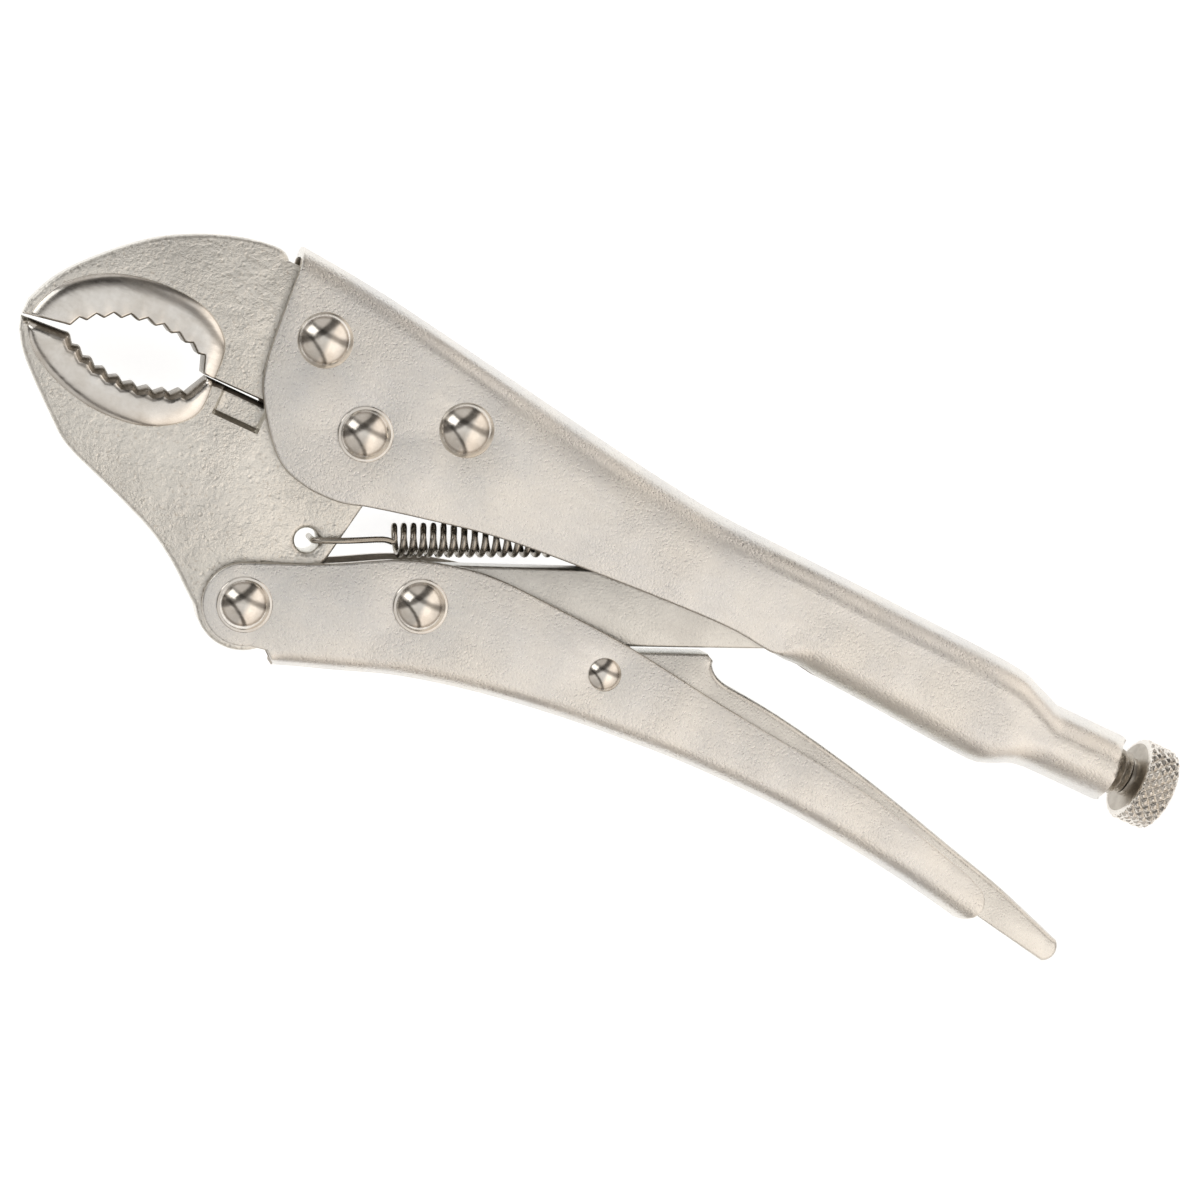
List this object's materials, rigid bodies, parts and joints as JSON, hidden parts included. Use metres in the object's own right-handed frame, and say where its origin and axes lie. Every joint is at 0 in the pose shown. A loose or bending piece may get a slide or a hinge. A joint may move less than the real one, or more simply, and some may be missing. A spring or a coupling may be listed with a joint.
{
  "type": "locking pliers",
  "caption": "Locking pliers with curved toothed jaws, a wire cutter, an over-centre toggle with a tension spring, a release lever and a knurled adjusting screw.",
  "frame": {"origin": "middle of the underside of the bounding box, with the tool lying on its side on its rivet heads", "axes": "+X along the adjusting screw from the jaws to the knob, +Y in the plane of the tool from the lower handle towards the upper handle's spine, +Z through the thickness, along every pivot"},
  "size_m": [0.2496, 0.0756, 0.0204],
  "materials": {
    "sheet_steel": "satin nickel plate with a fine bright grain",
    "forged_steel": "satin nickel plate over a lightly pitted forging",
    "turned_steel": "nickel plate over knurling and thread",
    "spring_wire": "dark drawn wire",
    "bright_rivet": "polished dome"
  },
  "bodies": {
    "upper_handle": {"upper_handle": "sheet_steel", "fixed_jaw": "forged_steel", "fixed_jaw_rivet_front": "bright_rivet", "fixed_jaw_rivet_rear": "bright_rivet", "jaw_pivot_rivet": "bright_rivet", "tension_spring": "spring_wire"},
    "lower_jaw": {"lower_jaw": "forged_steel"},
    "lower_handle": {"lower_handle": "sheet_steel", "handle_pivot_rivet": "bright_rivet", "link_pivot_rivet": "bright_rivet", "release_lever_rivet": "bright_rivet"},
    "toggle_link": {"toggle_link": "forged_steel"},
    "release_lever": {"release_lever": "sheet_steel"},
    "adjusting_screw": {"adjusting_screw": "turned_steel"},
    "screw_knob": {"screw_knob": "turned_steel"}
  },
  "joints": [
    {"name": "jaw_pivot", "type": "hinge", "parent": "upper_handle", "child": "lower_jaw", "pos_m": [-0.05725, 0.01058, 0.0102], "axis": [0, 0, 1], "range_deg": [0, 18], "deforming": ["tension_spring"]},
    {"name": "handle_pivot", "type": "hinge", "parent": "lower_jaw", "child": "lower_handle", "pos_m": [-0.06445, -0.02862, 0.0102], "axis": [0, 0, 1], "range_deg": [-60, 0]},
    {"name": "link_pivot", "type": "hinge", "parent": "lower_handle", "child": "toggle_link", "pos_m": [-0.03345, -0.01502, 0.0102], "axis": [0, 0, 1], "range_deg": [0, 69]},
    {"name": "release_lever_pivot", "type": "hinge", "parent": "lower_handle", "child": "release_lever", "pos_m": [0.00545, -0.01222, 0.0102], "axis": [0, 0, 1], "range_deg": [0, 2.5]},
    {"name": "screw_advance", "type": "slide", "parent": "upper_handle", "child": "adjusting_screw", "axis": [1, 0, 0], "range_m": [0, 0.024]},
    {"name": "knob_turn", "type": "hinge", "parent": "adjusting_screw", "child": "screw_knob", "pos_m": [0.11725, 0.01318, 0.0102], "axis": [1, 0, 0], "range_deg": [0, 5761]}
  ],
  "couplings": [
    {"joint": "handle_pivot", "follows": "jaw_pivot", "ratio": -3.3},
    {"joint": "link_pivot", "follows": "jaw_pivot", "ratio": 3.8},
    {"joint": "knob_turn", "follows": "screw_advance", "rad_per_m": 4188.8}
  ]
}
